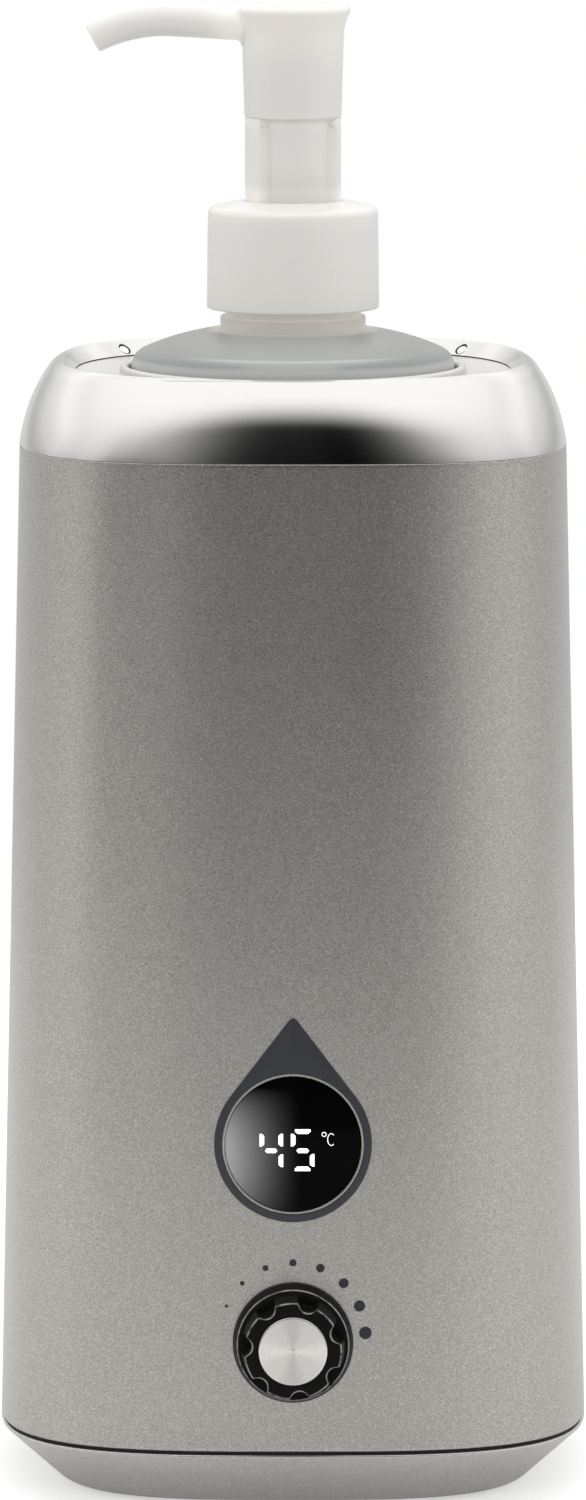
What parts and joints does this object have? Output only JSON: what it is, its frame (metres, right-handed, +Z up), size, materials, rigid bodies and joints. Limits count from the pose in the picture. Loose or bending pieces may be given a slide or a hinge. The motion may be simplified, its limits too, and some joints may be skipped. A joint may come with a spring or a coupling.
{
  "type": "massage oil warmer",
  "caption": "Square-round heated housing with a display and a knob, holding a pump bottle in its well to warm massage oil.",
  "frame": {"origin": "on the standing surface, under the middle of the base", "axes": "+Z up along the bottle's axis, -Y out of the front with the display and the knob, -X along the spout"},
  "size_m": [0.1084, 0.1194, 0.2716],
  "materials": {
    "housing_grey": "satin metallic-grey paint with a fine grain",
    "bright_ring": "polished plating",
    "bright_pin": "polished, flush",
    "well_aluminium": "drawn, satin anodised",
    "seam_black": "matte",
    "foot_rubber": "matte",
    "inlay_dark": "smooth, dark blue-grey",
    "trim_silver": "polished",
    "display_black": "clear gloss over black",
    "knob_black": "semi-gloss",
    "turned_disc": "finely turned in rings",
    "bottle_frosted": "frosted, translucent",
    "pump_white": "smooth moulded, semi-gloss",
    "pump_natural": "natural, translucent",
    "gasket_white": "matte",
    "spring_steel": "drawn wire",
    "screw_steel": "zinc plated",
    "pot_steel": "nickel plated",
    "heater_amber": "etched foil in amber film",
    "felt": "needled felt",
    "component_black": "moulded",
    "component_tan": "ceramic-like",
    "board_green": "solder resist",
    "inlet_black": "moulded, fine texture",
    "wire_red": "silicone sleeve"
  },
  "bodies": {
    "housing": {"outer_shell": "housing_grey", "top_ring": "bright_ring", "ring_pins": "bright_pin", "heating_cup": "well_aluminium", "heater_film": "heater_amber", "insulation_sleeve": "felt", "thermostat": "component_black", "thermal_fuse": "component_tan", "thermistor": "component_black", "seam_gasket": "seam_black", "base_tray": "housing_grey", "rubber_feet": "foot_rubber", "base_screws": "screw_steel", "power_board": "board_green", "control_board": "board_green", "board_screws": "screw_steel", "display_module": "component_black", "display_bezel": "inlay_dark", "display_trim_ring": "trim_silver", "display_lens": "display_black", "potentiometer": "pot_steel", "pot_washer": "pot_steel", "pot_nut": "pot_steel", "power_inlet": "inlet_black", "inlet_nut": "inlet_black", "wiring": "wire_red"},
    "bottle": {"bottle": "bottle_frosted"},
    "pump_body": {"pump_housing": "pump_natural", "stem_guide": "pump_natural", "neck_gasket": "gasket_white", "dip_tube": "pump_natural", "valve_ball": "spring_steel", "pump_spring": "spring_steel"},
    "collar": {"pump_closure": "pump_white"},
    "plunger": {"pump_stem": "pump_natural", "piston": "pump_natural"},
    "pump_head": {"pump_head": "pump_white", "pump_sleeve": "pump_white"},
    "knob": {"knob": "knob_black", "knob_cap": "turned_disc", "pot_shaft": "pot_steel"}
  },
  "joints": [
    {"name": "bottle_lift", "type": "slide", "parent": "housing", "child": "bottle", "axis": [0, 0, 1], "range_m": [0, 0.115]},
    {"name": "pump_rise", "type": "slide", "parent": "bottle", "child": "pump_body", "axis": [0, 0, 1], "range_m": [0, 0.00635]},
    {"name": "collar_turn", "type": "hinge", "parent": "pump_body", "child": "collar", "pos_m": [0, 0, 0.225], "axis": [0, 0, 1], "range_deg": [0, 540]},
    {"name": "head_press", "type": "slide", "parent": "pump_body", "child": "plunger", "axis": [0, 0, -1], "range_m": [0, 0.014], "stiffness_N_per_m": 400, "springref_m": -0.02, "deforming": ["pump_spring"]},
    {"name": "head_swivel", "type": "hinge", "parent": "plunger", "child": "pump_head", "pos_m": [0, 0, 0.26], "axis": [0, 0, 1], "continuous": true},
    {"name": "knob_turn", "type": "hinge", "parent": "housing", "child": "knob", "pos_m": [0, -0.05376, 0.032], "axis": [0, 0.9998, -0.0216], "range_deg": [-66.75, 89]}
  ],
  "couplings": [
    {"joint": "pump_rise", "follows": "collar_turn", "m_per_rad": 0.00067375}
  ]
}
